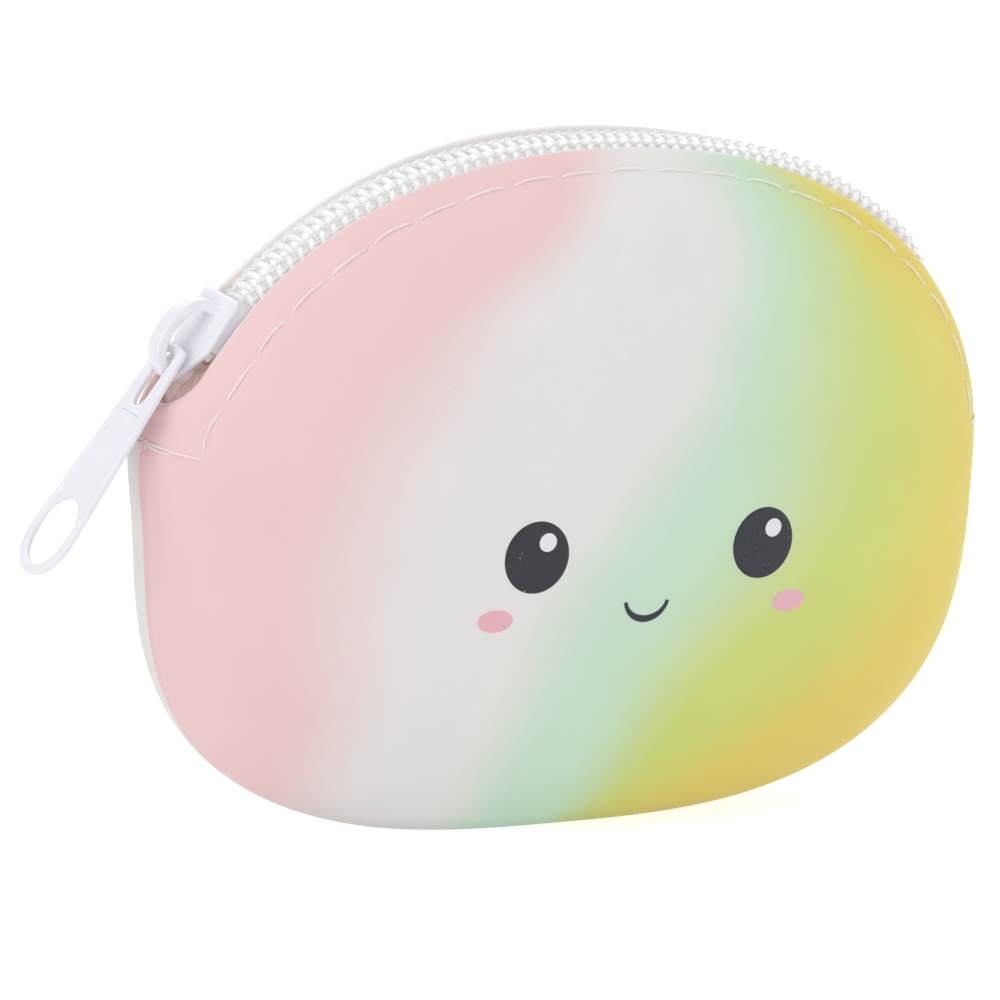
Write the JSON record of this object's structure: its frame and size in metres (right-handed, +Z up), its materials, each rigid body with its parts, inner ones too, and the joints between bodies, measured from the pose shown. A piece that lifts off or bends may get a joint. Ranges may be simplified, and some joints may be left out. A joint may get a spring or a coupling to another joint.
{
  "type": "zip coin purse",
  "caption": "Soft moulded silicone coin purse, domed and standing, with pastel stripes, an arched sewn-in coil zip, a slider and a long pull tab.",
  "frame": {"origin": "middle of the flat the purse stands on", "axes": "+Z up, the front face towards -Y, +X to the right seen from the front, so the closed zip's slider is on the -X side"},
  "size_m": [0.1197, 0.034, 0.0795],
  "materials": {
    "silicone": "soft matte silicone in pastel stripes",
    "zip_coil": "white nylon, slightly translucent",
    "zip_tape": "white woven polyester",
    "thread": "clear white sewing thread",
    "white_paint": "satin white lacquer"
  },
  "bodies": {
    "pouch": {"pouch_shell": "silicone", "zip_tape_front": "zip_tape", "zip_tape_rear": "zip_tape", "zip_coil_front": "zip_coil", "zip_coil_rear": "zip_coil", "coil_cord_front": "zip_tape", "coil_cord_rear": "zip_tape", "coil_sewing_front": "thread", "coil_sewing_rear": "thread", "stitch_front": "thread", "stitch_rear": "thread", "end_stitch_left": "thread", "end_stitch_right": "thread"},
    "slider": {"slider_body": "white_paint"},
    "pull": {"pull_tab": "white_paint"}
  },
  "joints": [
    {"name": "slider_travel", "type": "hinge", "parent": "pouch", "child": "slider", "pos_m": [0.00007, 0, 0.01796], "axis": [0, 1, 0], "range_deg": [0, 98], "deforming": ["zip_coil_front", "zip_coil_rear", "coil_cord_front", "coil_cord_rear", "coil_sewing_front", "coil_sewing_rear", "zip_tape_front", "zip_tape_rear"]},
    {"name": "pull_swing", "type": "hinge", "parent": "slider", "child": "pull", "pos_m": [-0.05057, 0, 0.05716], "axis": [0, 1, 0], "range_deg": [0, 150]}
  ]
}
